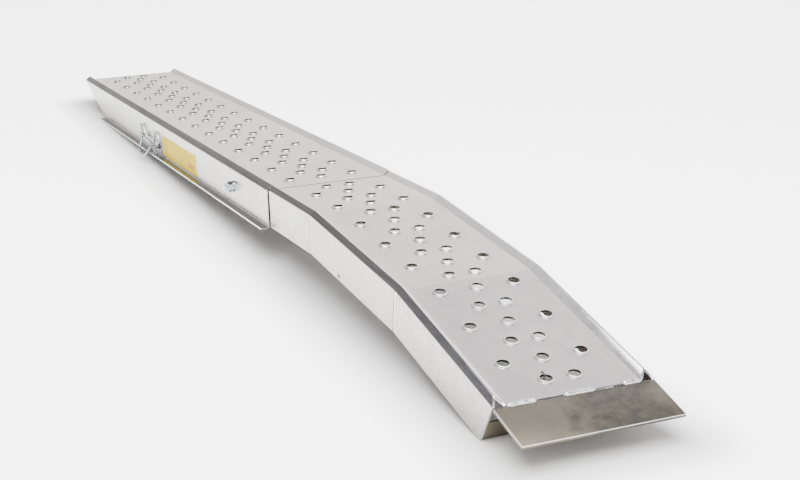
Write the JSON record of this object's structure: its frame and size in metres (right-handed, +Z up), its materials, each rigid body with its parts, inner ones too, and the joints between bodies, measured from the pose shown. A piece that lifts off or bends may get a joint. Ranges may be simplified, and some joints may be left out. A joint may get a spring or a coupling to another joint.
{
  "type": "folding loading ramp",
  "caption": "Arched folding loading ramp of formed aluminium sheet with raised traction holes, side bolts for the fold, a welded tailgate lip, a storage pin and a snap hook on chains.",
  "frame": {"origin": "middle of the ramp's length and width, on the floor that the unfolded ramp stands on", "axes": "+Z up, +Y towards the end that stands on the ground, -Y towards the tailgate lip, +X across to the side without the storage latch"},
  "size_m": [0.3603, 3.0202, 0.1844],
  "materials": {
    "deck_sheet": "brushed mill finish",
    "lip_plate": "mottled mill plate",
    "hinge_arm": "extruded bar",
    "weld": "rippled weld bead",
    "zinc_hardware": "bright zinc plating",
    "dark_steel": "black oxide",
    "label": "blank pale yellow film"
  },
  "bodies": {
    "ground_section": {"ground_deck": "deck_sheet", "label": "label", "pivot_bolt_left": "zinc_hardware", "pivot_bolt_right": "zinc_hardware", "inner_washer_left": "zinc_hardware", "inner_washer_right": "zinc_hardware", "arm_spacer_left": "zinc_hardware", "arm_spacer_right": "zinc_hardware", "outer_washer_left": "zinc_hardware", "outer_washer_right": "zinc_hardware", "lock_nut_left": "zinc_hardware", "lock_nut_right": "zinc_hardware", "hook_anchor": "zinc_hardware", "pin_anchor": "zinc_hardware", "pin_bush": "dark_steel"},
    "tailgate_section": {"tailgate_deck": "deck_sheet", "hinge_arm_left": "hinge_arm", "hinge_arm_right": "hinge_arm", "arm_welds_left": "weld", "arm_welds_right": "weld", "seam_welds_left": "weld", "seam_welds_right": "weld", "lip_plate": "lip_plate", "lip_welds": "weld", "end_plate": "lip_plate", "end_plate_welds": "weld"},
    "snap_hook": {"hook_chain": "zinc_hardware", "hook_ring": "zinc_hardware", "snap_hook": "zinc_hardware", "gate_rivet": "zinc_hardware"},
    "snap_gate": {"snap_gate": "zinc_hardware"},
    "lock_pin": {"lock_pin": "zinc_hardware", "pin_tail": "zinc_hardware"},
    "pin_chain": {"pin_chain": "zinc_hardware"},
    "tether": {"tether_hook": "dark_steel", "tether_ring": "zinc_hardware"}
  },
  "joints": [
    {"name": "fold", "type": "hinge", "parent": "ground_section", "child": "tailgate_section", "pos_m": [0, -0.06256, 0.10889], "axis": [1, 0, 0], "range_deg": [0, 174]},
    {"name": "hook_swing", "type": "hinge", "parent": "ground_section", "child": "snap_hook", "pos_m": [-0.1581, 0.77113, 0.08274], "axis": [0, 0.9989, -0.0469], "range_deg": [0, 70]},
    {"name": "gate_hinge", "type": "hinge", "parent": "snap_hook", "child": "snap_gate", "pos_m": [-0.16359, 0.72448, 0.05921], "axis": [0.9135, -0.0191, -0.4063], "range_deg": [0, 22], "stiffness_Nm_per_rad": 0.02, "springref_deg": -22.92},
    {"name": "pin_slide", "type": "slide", "parent": "ground_section", "child": "lock_pin", "axis": [1, 0, 0], "range_m": [0, 0.006]},
    {"name": "pin_chain_swing", "type": "hinge", "parent": "ground_section", "child": "pin_chain", "pos_m": [-0.1581, 0.62329, 0.08968], "axis": [0, 0.9989, -0.0469], "range_deg": [-12, 0]},
    {"name": "tether_swing", "type": "hinge", "parent": "tailgate_section", "child": "tether", "pos_m": [-0.0265, -1.34947, 0.09019], "axis": [1, 0, 0], "range_deg": [-12, 8]}
  ],
  "couplings": [
    {"joint": "pin_chain_swing", "follows": "pin_slide", "rad_per_m": -33.445}
  ]
}
